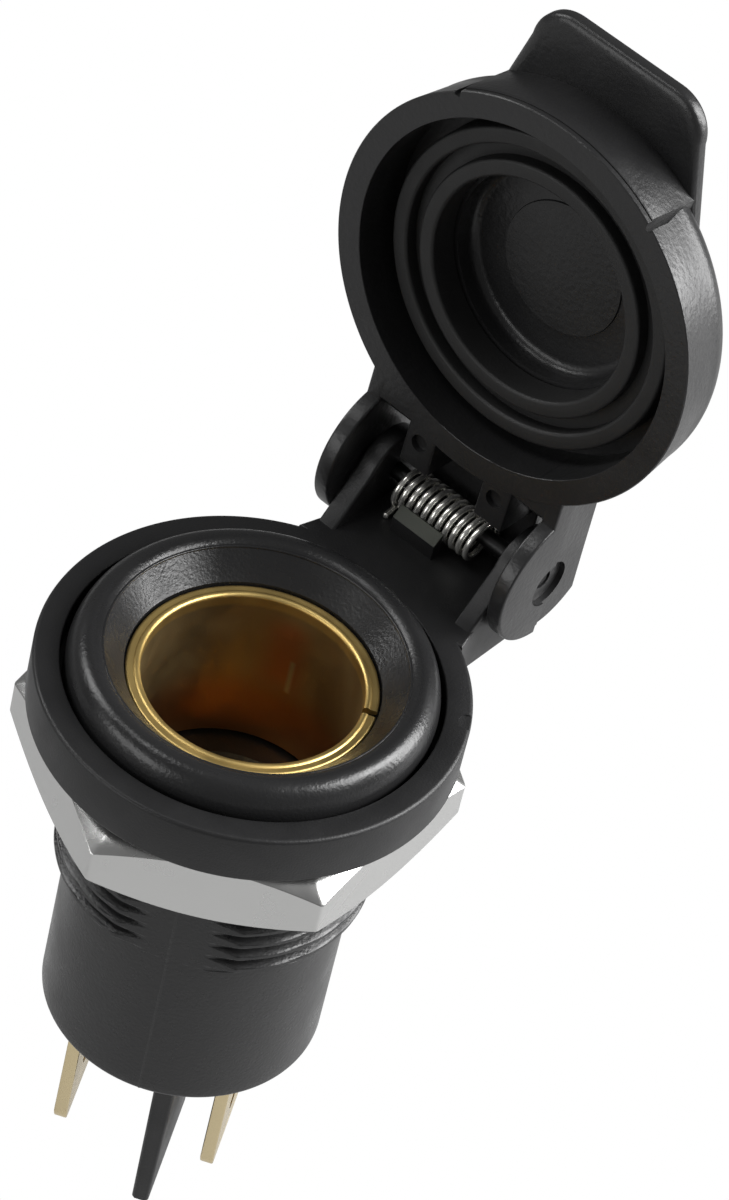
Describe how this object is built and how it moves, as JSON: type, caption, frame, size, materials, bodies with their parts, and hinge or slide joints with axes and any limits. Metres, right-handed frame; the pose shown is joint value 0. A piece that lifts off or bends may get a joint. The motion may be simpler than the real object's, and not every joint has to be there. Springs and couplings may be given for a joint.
{
  "type": "panel power socket",
  "caption": "Round low-voltage panel socket for a slim barrel plug, with a sprung hinged lid, threaded neck, hexagonal nut and flat push-on blades.",
  "frame": {"origin": "centre of the hinge ring's underside, on the barrel's axis, where the ring sits on the panel", "axes": "+Z along the barrel axis out of the mouth, +X along the hinge pin, +Y towards the hinge"},
  "size_m": [0.0242, 0.0355, 0.0746],
  "materials": {
    "gloss_black": "glossy moulded plastic",
    "matte_black": "fine matte moulded plastic",
    "lid_black": "satin moulded plastic",
    "seal_black": "soft moulded ring",
    "plated_steel": "bright plated",
    "spring_steel": "bright drawn wire",
    "dark_steel": "dark oxide",
    "brass": "bright rolled sheet",
    "fibre": "brown pressed fibre"
  },
  "bodies": {
    "socket": {"socket_body": "gloss_black", "hinge_ring": "matte_black", "hinge_pin": "dark_steel", "torsion_spring": "spring_steel", "hex_nut": "plated_steel", "contact_sleeve": "brass", "contact_insulator": "matte_black", "centre_contact": "brass", "insulating_washer": "fibre", "centre_rivet": "brass", "tail_rivet": "brass", "negative_terminal": "brass", "positive_terminal": "brass", "terminal_base": "matte_black"},
    "lid": {"lid": "lid_black", "lid_seal": "seal_black"}
  },
  "joints": [
    {"name": "lid_hinge", "type": "hinge", "parent": "socket", "child": "lid", "pos_m": [0, 0.0165, 0.00495], "axis": [1, 0, 0], "range_deg": [0, 94], "deforming": ["torsion_spring"]}
  ]
}
